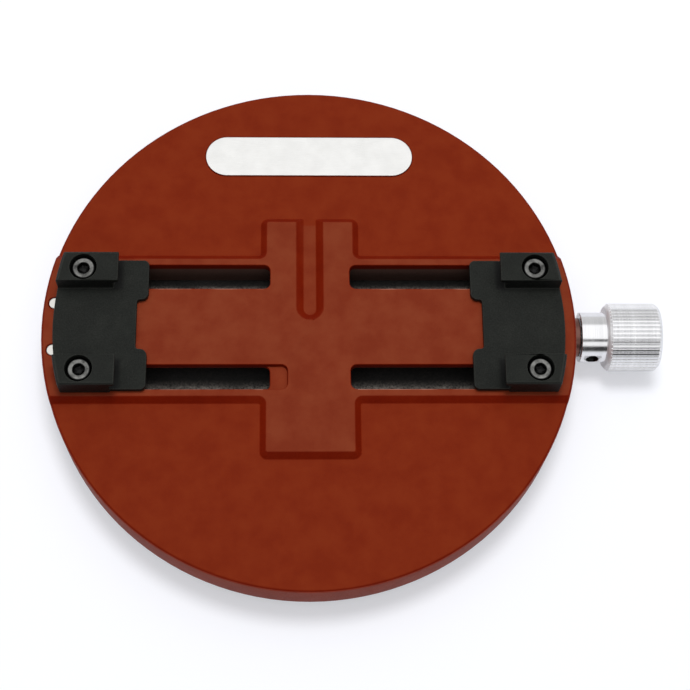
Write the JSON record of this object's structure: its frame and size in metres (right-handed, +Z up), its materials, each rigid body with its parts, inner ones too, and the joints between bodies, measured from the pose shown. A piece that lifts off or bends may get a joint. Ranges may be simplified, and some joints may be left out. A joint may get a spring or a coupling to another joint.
{
  "type": "pcb holder vise",
  "caption": "Round bench vise that holds a circuit board between two low jaws, drawn together by a knurled knob on the rim.",
  "frame": {"origin": "centre of the round base's underside; the rubber feet reach 3 mm below it", "axes": "+Z up, +X towards the knob along the lead screw, +Y towards the bare plate at the back"},
  "size_m": [0.1163, 0.1, 0.0179],
  "materials": {
    "red_stone": "satin, very fine grain",
    "black_plate": "matt, fine texture",
    "blackened_steel": "matt black",
    "polished_steel": "polished",
    "brushed_steel": "fine brushed",
    "bare_aluminium": "turned and polished",
    "brass": "machined",
    "rubber": "matt"
  },
  "bodies": {
    "base": {"base_plate": "red_stone", "cover_plate": "black_plate", "nameplate": "brushed_steel", "cover_screw_front_1": "blackened_steel", "cover_screw_front_2": "blackened_steel", "cover_screw_front_3": "blackened_steel", "cover_screw_back_1": "blackened_steel", "cover_screw_back_2": "blackened_steel", "cover_screw_back_3": "blackened_steel", "foot_back_right": "rubber", "foot_back_left": "rubber", "foot_front_left": "rubber", "foot_front_right": "rubber", "far_bearing": "brass", "bearing_pin_front": "polished_steel", "bearing_pin_back": "polished_steel", "knob_bush": "polished_steel"},
    "knob": {"lead_screw": "brushed_steel", "retaining_ring": "brushed_steel", "knob": "bare_aluminium", "grub_screw": "blackened_steel"},
    "left_jaw": {"left_jaw": "blackened_steel", "left_carriage": "blackened_steel", "left_nut": "brass", "left_jaw_screw_front": "polished_steel", "left_jaw_screw_back": "polished_steel"},
    "right_jaw": {"right_jaw": "blackened_steel", "right_carriage": "blackened_steel", "right_nut": "brass", "right_jaw_screw_front": "polished_steel", "right_jaw_screw_back": "polished_steel"}
  },
  "joints": [
    {"name": "knob_turn", "type": "hinge", "parent": "base", "child": "knob", "pos_m": [0.0613, 0, 0.004], "axis": [-1, 0, 0], "range_deg": [0, 14914.5]},
    {"name": "left_jaw_slide", "type": "slide", "parent": "base", "child": "left_jaw", "axis": [1, 0, 0], "range_m": [0, 0.029]},
    {"name": "right_jaw_slide", "type": "slide", "parent": "base", "child": "right_jaw", "axis": [-1, 0, 0], "range_m": [0, 0.029]}
  ],
  "couplings": [
    {"joint": "right_jaw_slide", "follows": "left_jaw_slide", "ratio": 1},
    {"joint": "knob_turn", "follows": "left_jaw_slide", "rad_per_m": 8976}
  ]
}
